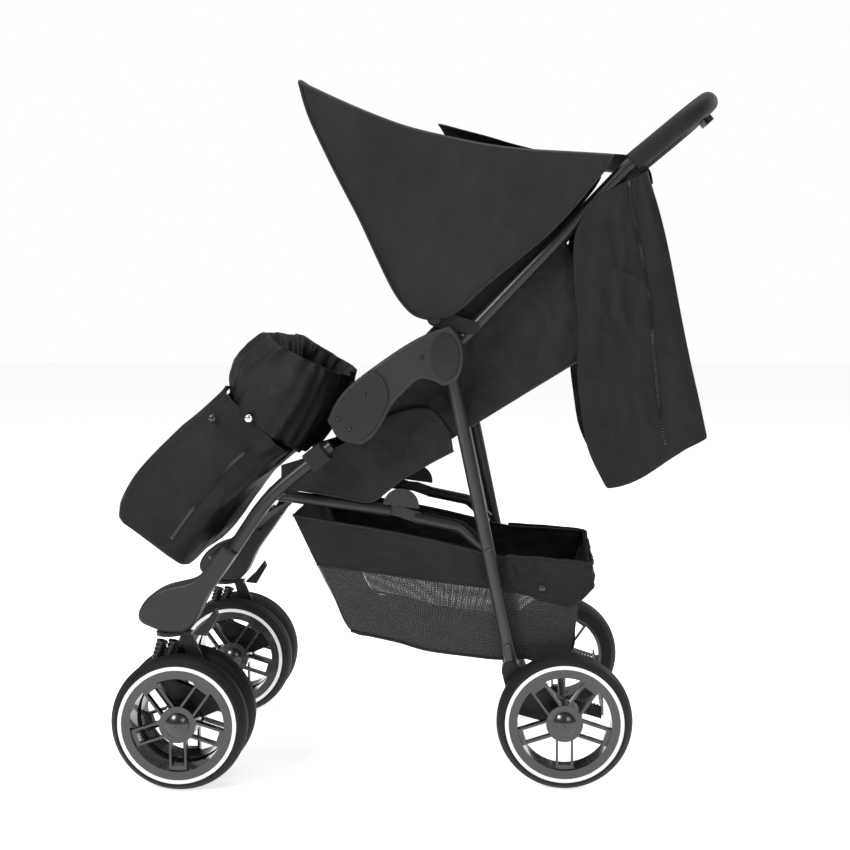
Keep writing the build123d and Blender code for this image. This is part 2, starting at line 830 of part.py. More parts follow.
front_edge = from_hub((-15, 51), (-44, 56), (-66, 78), (-102, 147), (-152, 247), (-193, 334), (-212, 396))
roof_front = from_hub((-212, 396), (-13, 330))
roof_back = from_hub((-13, 330), (49, 312), (139, 298), (229, 294))
roof_tail = from_hub((229, 294), (262, 290), (296, 272))
back_edge = from_hub((229, 294), (212, 244), (151, 179), (49, 95), (14, 63), (-15, 51))


def lowered(points):
    return [(x, z - canopy_wall) for x, z in reversed(points)]


with BuildPart() as canopy:
    with BuildSketch(at_side(canopy_half_width - canopy_wall)):
        with BuildLine():
            Spline(*front_edge)
            Line(*roof_front)
            Spline(*roof_back)
            Line(*back_edge[:2])
            Spline(*back_edge[1:])
        make_face()
    extrude(amount=canopy_wall)
    mirror(about=Plane.XZ)
    with BuildSketch(at_side(-canopy_half_width + canopy_wall)):
        with BuildLine():
            Line(*roof_front)
            Spline(*roof_back)
            Line(roof_back[-1], lowered(roof_back)[0])
            Spline(*lowered(roof_back))
            Line(*lowered(roof_front))
            Line(lowered(roof_front)[-1], roof_front[0])
        make_face()
    extrude(amount=2 * (canopy_half_width - canopy_wall))
    with BuildSketch(at_side(-tail_half_width)):
        with BuildLine():
            Spline(*roof_tail)
            Line(roof_tail[-1], lowered(roof_tail)[0])
            Spline(*lowered(roof_tail))
            Line(lowered(roof_tail)[-1], roof_tail[0])
        make_face()
    extrude(amount=2 * tail_half_width)
save(canopy.part, "canopy")

# ---------------------------------------------------------------- rear curtain

curtain_front = from_hub((215, 226), (190, 194), (183, 152), (187, 46), (196, -91), (215, -176), (248, -206))
curtain_hem = from_hub((248, -206), (284, -186), (332, -156), (364, -150), (384, -124))
curtain_back = from_hub((384, -124), (368, -51), (346, 46), (326, 142), (308, 215), (294, 256))
with BuildPart() as curtain:
    with BuildSketch(at_side(curtain_plane)):
        with BuildLine():
            Spline(*curtain_front)
            Polyline(*curtain_hem)
            Spline(*curtain_back)
            Line(curtain_back[-1], curtain_front[0])
        make_face()
    extrude(amount=cloth_wall)
    mirror(about=Plane.XZ)
    with BuildSketch(at_side(-curtain_plane)):
        with BuildLine():
            Spline(*curtain_back)
            Line(curtain_back[-1], (curtain_back[-1][0] - cloth_wall, curtain_back[-1][1]))
            Spline(*[(x - cloth_wall, z) for x, z in reversed(curtain_back)])
            Line((curtain_back[0][0] - cloth_wall, curtain_back[0][1]), curtain_back[0])
        make_face()
    extrude(amount=2 * curtain_plane)
save(curtain.part, "rear_curtain")

# ---------------------------------------------------------------- boot cover

boot_front = [(-343, 306), (-404, 350), (-447, 388), (-446, 412), (-416, 460), (-342, 535), (-281, 590)]
boot_cuff = [(-281, 590), (-255, 645), (-217, 680), (-152, 686), (-131, 645), (-97, 590)]
boot_back = [(-192, 476), (-232, 448), (-343, 306)]
with BuildPart() as boot_cover:
    with BuildSketch(at_side(-boot_half_width)) as boot_outline:
        with BuildLine():
            Polyline(*boot_front, *boot_cuff[1:], *boot_back)
        make_face()
    extrude(amount=2 * boot_half_width)
    with BuildSketch(at_side(-boot_half_width + cloth_wall)):
        offset(boot_outline.sketch_local, amount=-cloth_wall, kind=Kind.INTERSECTION)
        with BuildLine():
            Polyline((-118, 607), (-60, 607), (-150, 470), (-186, 484), (-200, 500), close=True)
        make_face()
    extrude(amount=2 * (boot_half_width - cloth_wall), mode=Mode.SUBTRACT)
save(boot_cover.part, "boot_cover")

# ---------------------------------------------------------------- basket

basket_half_width = panel_inner + panel_thickness
basket_top = [(269, 330), (139, 334), (84, 344), (-51, 374), (-178, 394)]
basket_bottom = [
    (-178, 394), (-92, 217), (-44, 207), (22, 190), (136, 177), (241, 188), (247, 258), (272, 296), (269, 330)
]
with BuildPart() as basket:
    with BuildSketch(at_side(-basket_half_width)) as basket_outline:
        with BuildLine():
            Polyline(*basket_top)
            Polyline(*basket_bottom)
        make_face()
    extrude(amount=2 * basket_half_width)
    with BuildSketch(at_side(-panel_inner)):
        offset(basket_outline.sketch_local, amount=-panel_thickness, kind=Kind.INTERSECTION)
        with BuildLine():
            Polyline(
                (267, 326), (136, 328), (84, 338), (-51, 368), (-174, 388),
                (-170, 450), (262, 400), close=True,
            )
        make_face()
    extrude(amount=2 * panel_inner, mode=Mode.SUBTRACT)
save(basket.part, "basket")
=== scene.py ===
import bmesh
import bpy
import math
from mathutils import Matrix, Vector, noise


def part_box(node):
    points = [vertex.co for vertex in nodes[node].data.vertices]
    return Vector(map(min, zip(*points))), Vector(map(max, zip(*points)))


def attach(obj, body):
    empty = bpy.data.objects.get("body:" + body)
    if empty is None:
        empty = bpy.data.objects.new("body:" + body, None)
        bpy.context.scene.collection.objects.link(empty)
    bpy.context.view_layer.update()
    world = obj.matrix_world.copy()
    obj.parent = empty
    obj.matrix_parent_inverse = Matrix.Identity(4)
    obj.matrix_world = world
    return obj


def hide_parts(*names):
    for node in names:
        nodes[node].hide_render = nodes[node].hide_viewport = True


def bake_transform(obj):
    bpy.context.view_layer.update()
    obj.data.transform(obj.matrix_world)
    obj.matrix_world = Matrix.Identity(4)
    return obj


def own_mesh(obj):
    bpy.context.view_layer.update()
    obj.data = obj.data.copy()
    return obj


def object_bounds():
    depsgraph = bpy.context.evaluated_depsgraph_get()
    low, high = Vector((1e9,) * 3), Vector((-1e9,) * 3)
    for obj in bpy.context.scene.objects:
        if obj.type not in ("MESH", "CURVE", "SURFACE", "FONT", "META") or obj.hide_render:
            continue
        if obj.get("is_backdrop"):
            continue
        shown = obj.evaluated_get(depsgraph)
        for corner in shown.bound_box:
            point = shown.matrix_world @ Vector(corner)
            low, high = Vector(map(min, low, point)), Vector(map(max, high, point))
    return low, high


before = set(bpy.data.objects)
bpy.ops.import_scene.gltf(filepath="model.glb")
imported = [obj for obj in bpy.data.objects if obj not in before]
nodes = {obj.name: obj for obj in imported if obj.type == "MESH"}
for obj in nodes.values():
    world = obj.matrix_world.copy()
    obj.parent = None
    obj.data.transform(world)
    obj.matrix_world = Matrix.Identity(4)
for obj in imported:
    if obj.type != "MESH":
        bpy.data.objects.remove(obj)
cadBox = [list(corner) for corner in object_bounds()]
print("stage: frame loaded,", len(nodes), "nodes")

# camera, light and floor

view = {"lens": 60.94, "place": (0.1749, -2.2797, 0.7179), "tilt": 0.087356, "turn": 0.030195, "shift": -0.0706}
camera = bpy.data.objects.new("camera", bpy.data.cameras.new("camera"))
camera.data.lens = view["lens"]
camera.data.shift_x = view["shift"]
camera.location = view["place"]
camera.rotation_euler = (math.pi / 2 - view["tilt"], 0, view["turn"])
bpy.context.collection.objects.link(camera)
bpy.context.scene.camera = camera

studio = {
    "key": ((-1.9, -2.6, 2.3), 1.0, 80),
    "front": ((1.6, -3.0, 1.6), 1.2, 20),
    "top": ((0.1, 0.3, 3.0), 2.4, 66),
    "rim": ((2.6, 1.8, 1.9), 1.6, 50),
    "sky": 0.26,
    "floorGlow": 0.72,
    "floor": (0.93, 0.93, 0.935),
}
for lampName in ("key", "front", "top", "rim"):
    place, size, power = studio[lampName]
    lamp = bpy.data.objects.new(lampName, bpy.data.lights.new(lampName, "AREA"))
    lamp.data.size = size
    lamp.data.energy = power
    lamp.location = place
    lamp.rotation_euler = (Vector((0, 0, 0.5)) - Vector(place)).to_track_quat("-Z", "Y").to_euler()
    bpy.context.collection.objects.link(lamp)
sky = bpy.data.worlds.new("sky")
sky.use_nodes = True
sky.node_tree.nodes["Background"].inputs["Strength"].default_value = studio["sky"]
sky.node_tree.nodes["Background"].inputs["Color"].default_value = (1, 1, 1, 1)
paper = sky.node_tree.nodes.new("ShaderNodeBackground")
paper.inputs["Color"].default_value = (1, 1, 1, 1)
choice = sky.node_tree.nodes.new("ShaderNodeMixShader")
rays = sky.node_tree.nodes.new("ShaderNodeLightPath")
sky.node_tree.links.new(rays.outputs["Is Camera Ray"], choice.inputs[0])
sky.node_tree.links.new(sky.node_tree.nodes["Background"].outputs[0], choice.inputs[1])
sky.node_tree.links.new(paper.outputs[0], choice.inputs[2])
sky.node_tree.links.new(choice.outputs[0], sky.node_tree.nodes["World Output"].inputs["Surface"])
bpy.context.scene.world = sky
bpy.context.scene.view_settings.view_transform = "Standard"


# finishes

class Wire:
    # one socket, with the operators that the finishes use
    def __init__(self, finish, socket):
        self.finish = finish
        self.socket = socket

    def sum(self, operation, *values):
        return self.finish.node("ShaderNodeMath", {"operation": operation}, dict(enumerate(values)))

    def __add__(self, other):
        return self.sum("ADD", self, other)

    def __radd__(self, other):
        return self.sum("ADD", other, self)

    def __sub__(self, other):
        return self.sum("SUBTRACT", self, other)

    def __rsub__(self, other):
        return self.sum("SUBTRACT", other, self)

    def __mul__(self, other):
        return self.sum("MULTIPLY", self, other)

    def __rmul__(self, other):
        return self.sum("MULTIPLY", other, self)

    def __pow__(self, other):
        return self.sum("POWER", self, other)

    def above(self, other):
        return self.sum("GREATER_THAN", self, other)

    def wave(self):
        return self.sum("SINE", self)

    def size(self):
        return self.sum("ABSOLUTE", self)

    def least(self, other):
        return self.sum("MINIMUM", self, other)


class Finish:
    def __init__(self, name, colour, roughness, constants=None):
        self.material = bpy.data.materials.new(name)
        self.material.use_nodes = True
        self.tree = self.material.node_tree
        self.shader = self.tree.nodes["Principled BSDF"]
        self.colour = (*colour, 1)
        self.set("Base Color", self.colour)
        self.set("Roughness", roughness)
        for socket, value in (constants or {}).items():
            self.set(socket, value)

    def set(self, socket, value):
        target = self.shader.inputs[socket]
        if isinstance(value, Wire):
            self.tree.links.new(value.socket, target)
        else:
            target.default_value = value

    def node(self, kind, settings=None, inputs=None, out=0):
        made = self.tree.nodes.new(kind)
        for key, value in (settings or {}).items():
            if key == "stops":
                ramp = made.color_ramp
                while len(ramp.elements) < len(value):
                    ramp.elements.new(1)
                for element, (position, shade) in zip(ramp.elements, value):
                    element.position = position
                    element.color = (shade, shade, shade, 1)
            else:
                setattr(made, key, value)
        for key, value in (inputs or {}).items():
            if isinstance(value, Wire):
                self.tree.links.new(value.socket, made.inputs[key])
            else:
                made.inputs[key].default_value = value
        return Wire(self, made.outputs[out])

    def here(self):
        return self.node("ShaderNodeTexCoord", out="Object")

    def clothMap(self):
        return self.node("ShaderNodeUVMap", {"uv_map": "cloth"})

    def part(self, vector, axis):
        return self.node("ShaderNodeSeparateXYZ", {}, {0: vector}, out=axis)

    def grain(self, vector, scale, detail=3, rough=0.55):
        return self.node(
            "ShaderNodeTexNoise", {}, {"Vector": vector, "Scale": scale, "Detail": detail, "Roughness": rough}
        )

    def ramp(self, value, *stops):
        return self.node("ShaderNodeValToRGB", {"stops": stops}, {0: value})

    def mix(self, factor, first, second):
        return self.node(
            "ShaderNodeMix", {"data_type": "RGBA"}, {0: factor, 6: first, 7: second}, out=2
        )

    def bump(self, height, strength, distance, under=None):
        inputs = {"Height": height, "Strength": strength, "Distance": distance}
        if under:
            inputs["Normal"] = under
        return self.node("ShaderNodeBump", {}, inputs)


def shaded(colour, factor):
    return tuple(channel * factor for channel in colour) + (1,)


def clothFinish(name, colour, pitch, sheen, crease=0.5, roughness=0.62):
    made = Finish(
        name, colour, roughness,
        {"Sheen Weight": sheen * 0.3, "Sheen Roughness": 0.4, "Specular IOR Level": 0.14},
    )
    flat = made.clothMap()
    warp = (made.part(flat, 0) * (2 * math.pi / pitch)).wave()
    weft = (made.part(flat, 1) * (2 * math.pi / pitch)).wave()
    weave = (warp * weft) * 0.5 + 0.5
    patch = made.grain(made.here(), 9, 4)
    fleck = made.grain(made.here(), 900, 2)
    tone = made.ramp(patch * 0.7 + weave * 0.2 + fleck * 0.25, (0.3, 0), (0.75, 1))
    made.set("Base Color", made.mix(tone, shaded(colour, 0.7), shaded(colour, 1.35)))
    made.set("Roughness", roughness - 0.08 + fleck * 0.16)
    spot = made.here()
    bend = made.grain(spot, 7, 3, 0.6)
    ridge = 1 - ((made.grain(spot, 11, 2, 0.45) - 0.5).size() * 9).least(1.0)
    drape = made.bump(bend + ridge * 0.12, crease, 0.03)
    fine = made.bump(made.grain(spot, 55, 3), 0.3, 0.003, drape)
    made.set("Normal", made.bump(weave + fleck * 0.6, 0.4, 0.0004, fine))
    return made.material


def meshClothFinish(name, colour, cell):
    made = Finish(name, colour, 0.6, {"Sheen Weight": 0.05})
    flat = made.clothMap()
    holes = made.node(
        "ShaderNodeTexVoronoi", {"feature": "DISTANCE_TO_EDGE", "voronoi_dimensions": "2D"},
        {"Vector": flat, "Scale": 1 / cell, "Randomness": 0.15},
    )
    thread = made.ramp(holes, (0.0, 1), (0.16, 1), (0.24, 0.0))
    patch = made.grain(made.here(), 12, 3)
    made.set("Base Color", made.mix(patch, shaded(colour, 0.7), shaded(colour, 1.5)))
    made.set("Alpha", thread * 0.45 + 0.55)
    made.set("Normal", made.bump(thread, 0.5, 0.0006, made.bump(made.grain(made.here(), 12, 2), 0.4, 0.01)))
    return made.material


def mouldedFinish(name, colour, roughness, grainScale=1400, coat=0.0, wear=0.5):
    made = Finish(name, colour, roughness, {"Specular IOR Level": 0.26})
    spot = made.here()
    patch = made.grain(spot, 22, 4)
    fine = made.grain(spot, grainScale, 2)
    made.set("Base Color", made.mix(patch, shaded(colour, 1 - 0.25 * wear), shaded(colour, 1 + 0.3 * wear)))
    made.set("Roughness", roughness - 0.06 + patch * 0.1 + fine * 0.05)
    if coat:
        made.set("Coat Weight", coat)
        made.set("Coat Roughness", 0.12)
    made.set("Normal", made.bump(fine, 0.12, 0.0003, made.bump(patch, 0.05, 0.002)))
    return made.material


def metalFinish(name, colour, roughness, metallic, scratch=0.3):
    made = Finish(name, colour, roughness, {"Metallic": metallic})
    spot = made.here()
    patch = made.grain(spot, 40, 4)
    fine = made.grain(spot, 700, 2)
    made.set("Base Color", made.mix(patch, shaded(colour, 0.85), shaded(colour, 1.2)))
    made.set("Roughness", roughness - 0.05 + patch * 0.1 * scratch * 3)
    made.set("Normal", made.bump(fine, 0.06, 0.0002))
    return made.material


# marks on a wheel, in metres from its middle
wheelMarks = {"treadLine": 0.0935, "lineSharpness": 1400, "faceDepth": 0.019, "ringStart": 0.0815}


def tyreFinish(centre):
    made = Finish("tyreFoam", (0.008, 0.008, 0.0082), 0.62, {"Specular IOR Level": 0.2})
    spot = made.here()
    sideways = made.part(spot, 0) - centre[0]
    upwards = made.part(spot, 2) - centre[2]
    radius = (sideways * sideways + upwards * upwards) ** 0.5
    line = 1 - ((radius - wheelMarks["treadLine"]).size() * wheelMarks["lineSharpness"]).least(1.0)
    patch = made.grain(spot, 60, 4)
    dust = made.grain(spot, 700, 2)
    made.set("Base Color", made.mix(patch, (0.005, 0.005, 0.0052, 1), (0.011, 0.011, 0.0113, 1)))
    made.set("Roughness", 0.5 + patch * 0.15 + dust * 0.1)
    made.set("Normal", made.bump(dust * 0.4 + line, 0.35, 0.0006))
    return made.material


def rimFinish(centre, outward):
    made = Finish("rimGloss", (0.006, 0.006, 0.0062), 0.28, {"Coat Roughness": 0.08})
    spot = made.here()
    sideways = made.part(spot, 0) - centre[0]
    upwards = made.part(spot, 2) - centre[2]
    radius = (sideways * sideways + upwards * upwards) ** 0.5
    face = ((made.part(spot, 1) - centre[1]) * outward).above(wheelMarks["faceDepth"])
    ring = radius.above(wheelMarks["ringStart"]) * face
    patch = made.grain(spot, 90, 4)
    black = made.mix(patch, (0.005, 0.005, 0.0052, 1), (0.01, 0.01, 0.0104, 1))
    pale = made.mix(patch, (0.62, 0.62, 0.63, 1), (0.78, 0.78, 0.79, 1))
    made.set("Base Color", made.mix(ring, black, pale))
    made.set("Roughness", 0.22 + ring * 0.16 + patch * 0.1)
    made.set("Coat Weight", 0.6 - ring * 0.4)
    made.set("Normal", made.bump(made.grain(spot, 500, 2), 0.05, 0.0003))
    return made.material


wovenCloth = clothFinish("wovenCloth", (0.011, 0.011, 0.0113), 0.0016, 0.06, 0.5, 0.5)
hoodCloth = clothFinish("hoodCloth", (0.013, 0.013, 0.0133), 0.0016, 0.09, 0.3, 0.52)
quiltCloth = clothFinish("quiltCloth", (0.011, 0.011, 0.0113), 0.0014, 0.06, 0.5, 0.48)
webbing = clothFinish("webbing", (0.012, 0.012, 0.0123), 0.0022, 0.06, 0.1)
netCloth = meshClothFinish("netCloth", (0.011, 0.011, 0.0113), 0.0032)
pipingCloth = mouldedFinish("pipingCloth", (0.008, 0.008, 0.0082), 0.5, 1500)
greyMoulding = mouldedFinish("greyMoulding", (0.02, 0.02, 0.0205), 0.42)
podMoulding = mouldedFinish("podMoulding", (0.015, 0.015, 0.0154), 0.4)
blackMoulding = mouldedFinish("blackMoulding", (0.009, 0.009, 0.0093), 0.38)
glossTrim = mouldedFinish("glossTrim", (0.012, 0.012, 0.0125), 0.18, 1500, 0.6, 0.3)
gripFoam = mouldedFinish("gripFoam", (0.008, 0.008, 0.0083), 0.7, 420, 0.0, 0.8)
satinTube = metalFinish("satinTube", (0.035, 0.035, 0.037), 0.3, 0.5)
darkTube = metalFinish("darkTube", (0.012, 0.012, 0.0125), 0.34, 0.3)
zincSteel = metalFinish("zincSteel", (0.55, 0.55, 0.56), 0.3, 1.0)
darkSteel = metalFinish("darkSteel", (0.03, 0.03, 0.031), 0.3, 0.7)
stripSteel = metalFinish("stripSteel", (0.3, 0.3, 0.31), 0.38, 0.8)
chrome = metalFinish("chrome", (0.75, 0.75, 0.76), 0.12, 1.0)

floorFinish = Finish(
    "floorPaper", studio["floor"], 0.7, {"Emission Color": (1, 1, 1, 1), "Emission Strength": studio["floorGlow"]}
)
floorTone = floorFinish.grain(floorFinish.here(), 2.0, 2)
floorFinish.set(
    "Base Color", floorFinish.mix(floorTone, shaded(studio["floor"], 0.995), shaded(studio["floor"], 1.005))
)
floorMesh = bmesh.new()
bmesh.ops.create_grid(floorMesh, x_segments=4, y_segments=4, size=14)
floorData = bpy.data.meshes.new("floor")
floorMesh.to_mesh(floorData)
floorData.materials.append(floorFinish.material)
floor = bpy.data.objects.new("floor", floorData)
floor.location.z = -0.0005
bpy.context.collection.objects.link(floor)
floor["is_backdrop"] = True

paint = {
    "armrest_": greyMoulding, "pod_covers": podMoulding, "hub_medallions": glossTrim, "armrest_pins": glossTrim,
    "push_tube": darkTube, "grip": gripFoam, "release_trigger": blackMoulding, "front_leg_": darkTube,
    "front_housing_": greyMoulding, "leg_collars": blackMoulding, "footrest": blackMoulding,
    "swivel_crown_": blackMoulding, "suspension_arm_": blackMoulding, "front_springs_": darkSteel,
    "front_axle_": zincSteel, "swivel_lock_": blackMoulding, "rear_leg_": satinTube, "rear_housings": blackMoulding,
    "rear_axle": darkSteel, "rear_rivets": glossTrim, "brake_pedals": blackMoulding, "brake_link": stripSteel,
    "rail_front": darkTube, "rail_rear": darkTube, "rail_hinge_covers": greyMoulding, "buckle": blackMoulding,
    "buckle_button": greyMoulding, "canopy_bow": darkSteel, "canopy_hinges": blackMoulding,
    "crotch_strap": webbing, "harness_straps": webbing,
}


def repaint(node, material):
    for holder in nodes[node].material_slots:
        holder.material = material


for node in nodes:
    finish = next((paint[key] for key in sorted(paint, key=len, reverse=True) if node.startswith(key)), None)
    if finish:
        repaint(node, finish)
for node in nodes:
    if node.startswith(("tyre_", "rim_")):
        low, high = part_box("tyre_" + node.split("_", 1)[1])
        centre = (Vector(low) + Vector(high)) / 2
        dressed = -1 if node.endswith(("left_outer", "right_inner", "rear_left")) else 1
        repaint(node, tyreFinish(centre) if node.startswith("tyre_") else rimFinish(centre, dressed))
print("stage: finishes on the frame")


# shaping helpers, in millimetres until they reach a mesh

def along(points, t):
    # a smooth curve through the points, t from 0 to 1
    last = len(points) - 1
    t = min(max(t, 0.0), 1.0) * last
    i = min(int(t), last - 1)
    f = t - i
    four = points[max(i - 1, 0)], points[i], points[i + 1], points[min(i + 2, last)]
    return Vector([
        0.5 * (2 * b + (c - a) * f + (2 * a - 5 * b + 4 * c - d) * f * f + (3 * b - a - 3 * c + d) * f**3)
        for a, b, c, d in zip(*four)
    ])


def ease(t):
    t = min(max(t, 0.0), 1.0)
    return t * t * (3 - 2 * t)


def ripple(x, y, size, seed=0.0):
    return noise.noise(Vector((x / size, y / size, seed)))


def crease(x, y, size, seed=0.0):
    # a narrow soft ridge, 0 to 1
    return (1 - min(abs(ripple(x, y, size, seed)) * 3.2, 1.0)) ** 2


def shown(name, mesh, material, smooth=True):
    data = bpy.data.meshes.new(name)
    mesh.to_mesh(data)
    mesh.free()
    piece = bpy.data.objects.new(name, data)
    data.materials.append(material)
    if smooth:
        data.polygons.foreach_set("use_smooth", [True] * len(data.polygons))
    bpy.context.collection.objects.link(piece)
    return piece


def clothPiece(name, columns, rows, place, material, span=(1.0, 1.0), wall=1.4, rounds=1):
    # a grid whose points are put by place(u, v) in millimetres
    mesh = bmesh.new()
    bmesh.ops.create_grid(mesh, x_segments=columns, y_segments=rows, size=0.5)
    layer = mesh.loops.layers.uv.new("cloth")
    for face in mesh.faces:
        for loop in face.loops:
            loop[layer].uv = ((loop.vert.co.x + 0.5) * span[0], (loop.vert.co.y + 0.5) * span[1])
    for vert in mesh.verts:
        vert.co = Vector(place(vert.co.x + 0.5, vert.co.y + 0.5)) * 0.001
    bmesh.ops.remove_doubles(mesh, verts=mesh.verts, dist=0.00005)
    piece = shown(name, mesh, material)
    if wall:
        shell = piece.modifiers.new("wall", "SOLIDIFY")
        shell.thickness = wall * 0.001
        shell.offset = 0
    if rounds:
        soft = piece.modifiers.new("soft", "SUBSURF")
        soft.levels = soft.render_levels = rounds
    return piece


def tubePiece(name, points, radius, material, sides=4):
    # a round cord or wire through points in millimetres
    curve = bpy.data.curves.new(name, "CURVE")
    curve.dimensions = "3D"
    curve.bevel_depth = radius * 0.001
    curve.bevel_resolution = sides
    curve.resolution_u = 6
    curve.use_fill_caps = True
    spline = curve.splines.new("NURBS")
    spline.points.add(len(points) - 1)
    for spot, point in zip(spline.points, points):
        spot.co = (point[0] * 0.001, point[1] * 0.001, point[2] * 0.001, 1)
    spline.order_u = 3
    spline.use_endpoint_u = True
    holder = bpy.data.objects.new(name, curve)
    data = bpy.data.meshes.new_from_object(holder)
    bpy.data.objects.remove(holder)
    piece = bpy.data.objects.new(name, data)
    data.materials.clear()
    data.materials.append(material)
    data.polygons.foreach_set("use_smooth", [True] * len(data.polygons))
    bpy.context.collection.objects.link(piece)
    return piece


def mirrored(piece, name):
    # the same piece on the other side of the middle plane
    data = piece.data.copy()
    data.transform(Matrix.Scale(-1, 4, (0, 1, 0)))
    data.flip_normals()
    twin = bpy.data.objects.new(name, data)
    bpy.context.collection.objects.link(twin)
    for tool in piece.modifiers:
        made = twin.modifiers.new(tool.name, tool.type)
        if tool.type == "SOLIDIFY":
            made.thickness = tool.thickness
            made.offset = tool.offset
        else:
            made.levels = made.render_levels = tool.levels
    return twin


def studPiece(name, spots, radius, rise, material):
    # domed caps facing along the given directions: (x, y, z, direction)
    mesh = bmesh.new()
    for x, y, z, facing in spots:
        profile = [(radius, 0), (radius * 0.97, rise * 0.45), (radius * 0.7, rise * 0.85), (0, rise)]
        verts = [mesh.verts.new((r * 0.001, 0, h * 0.001)) for r, h in profile]
        edges = [mesh.edges.new(pair) for pair in zip(verts, verts[1:])]
        bmesh.ops.spin(
            mesh, geom=verts + edges, cent=(0, 0, 0), axis=(0, 0, 1), angle=2 * math.pi, steps=20, use_merge=True
        )
        fresh = [vert for vert in mesh.verts if not vert.tag]
        bmesh.ops.remove_doubles(mesh, verts=fresh, dist=0.00001)
        fresh = [vert for vert in mesh.verts if not vert.tag]
        turn = Vector(facing).to_track_quat("Z", "Y").to_matrix().to_4x4()
        bmesh.ops.transform(mesh, matrix=Matrix.Translation(Vector((x, y, z)) * 0.001) @ turn, verts=fresh)
        for vert in mesh.verts:
            vert.tag = True
    bmesh.ops.recalc_face_normals(mesh, faces=mesh.faces)
    return shown(name, mesh, material)


# hood

hood = {
    "halfWidth": 190, "crown": 7, "sag": 6,
    "frontEdge": [
        (30, 689), (8, 696), (-10, 715), (-24, 737), (-46, 783),
        (-70, 836), (-96, 885), (-122, 938), (-143, 985), (-155, 1029),
    ],
    "backEdge": [
        (52, 690), (78, 705), (105, 731), (140, 760), (175, 788),
        (207, 815), (240, 850), (268, 884), (285, 905), (296, 924),
    ],
    "roof": [
        (-155, 1029), (-105, 1006), (-55, 985), (-5, 967), (43, 955),
        (105, 942), (165, 934), (230, 930), (296, 926),
    ],
}


def hoodPlace(u, v):
    fold = 0.3
    half = hood["halfWidth"]
    side = min(u, 1 - u)
    left = u < 0.5
    up = ease(side / fold) * 0.35 + min(side / fold, 1) * 0.65
    front = along(hood["frontEdge"], up)
    back = along(hood["backEdge"], up)
    ridge = along(hood["roof"], v) - (Vector(hood["roof"][0]) * (1 - v) + Vector(hood["roof"][-1]) * v)
    spot = front * (1 - v) + back * v + ridge * up**2.2
    if side < fold:
        bulge = 5 * math.sin(math.pi * up) * math.sin(math.pi * v)
        bulge += 5 * ripple(spot[0], spot[1], 100, 3.0 if left else 8.0)
        bulge += 5 * crease(spot[0] * 0.5 + spot[1] * 0.5, (spot[1] - spot[0]) * 1.1, 70, 5.0) * math.sin(math.pi * v)
        edge = max(0.0, 1 - min(v, 1 - v) / 0.06)
        y = half - 1.0 - (7 - bulge) * (1 - edge) * math.sin(math.pi * min(up, 1)) * 0.6
        return (spot[0], -y if left else y, spot[1])
    across = (u - fold) / (1 - 2 * fold)
    y = half * (2 * across - 1)
    dome = math.sin(math.pi * across)
    lift = hood["crown"] * dome**0.6 - hood["sag"] * dome * math.sin(math.pi * v) ** 2 * 0.5
    lift += 2.5 * ripple(spot[0], y, 110, 1.0) * dome
    return (spot[0], y, spot[1] + lift)


hoodSheet = clothPiece("hoodSheet", 60, 34, hoodPlace, hoodCloth, (1.05, 0.5), 1.6)
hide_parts("canopy")
hoodRear = [hoodPlace(n / 60, 1.0) for n in range(61)]
hoodFront = [hoodPlace(n / 60, 0.0) for n in range(61)]
frontPiping = tubePiece("hoodFrontPiping", hoodFront, 2.4, pipingCloth)
rearPiping = tubePiece("hoodRearPiping", hoodRear[:19], 2.0, pipingCloth)
rearPipingRight = tubePiece("hoodRearPipingRight", hoodRear[42:], 2.0, pipingCloth)
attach(frontPiping, "canopy_hood")
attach(rearPiping, "push_bar")
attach(rearPipingRight, "push_bar")
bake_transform(hoodSheet)


def tailPlace(u, v):
    y = 150 * (2 * u - 1)
    spot = along([(292, 929), (318, 927), (338, 920), (352, 905), (356, 885)], v)
    return (spot[0], y, spot[1] + 3 * math.sin(math.pi * u) + 1.5 * ripple(y, v * 60, 40, 2.0))


hoodTail = clothPiece("hoodTail", 30, 8, tailPlace, hoodCloth, (0.3, 0.08), 1.4)
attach(hoodTail, "push_bar")


def flapPlace(u, v):
    y = 150 * (2 * u - 1)
    spot = along([(42, 970), (46, 972), (80, 964), (115, 956), (150, 946), (185, 938)], v)
    rise = 6 * math.sin(math.pi * u) ** 0.5 * (1 - v)
    return (spot[0], y * (1 - 0.03 * v), spot[1] + rise - 3 * v + 1.5 * ripple(y, v * 90, 60, 4.0))


ventFlap = clothPiece("ventFlap", 40, 12, flapPlace, hoodCloth, (0.3, 0.16), 2.2)
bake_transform(ventFlap)
print("stage: hood")

# rear curtain

curtain = {
    "plane": 182,
    "frontEdge": [
        (272, 866), (258, 846), (244, 820), (239, 788), (242, 727),
        (247, 682), (245, 614), (251, 560), (262, 498), (290, 440),
    ],
    "backEdge": [
        (350, 905), (357, 880), (367, 848), (378, 806), (388, 760),
        (397, 715), (406, 670), (417, 620), (429, 570), (441, 516),
    ],
}


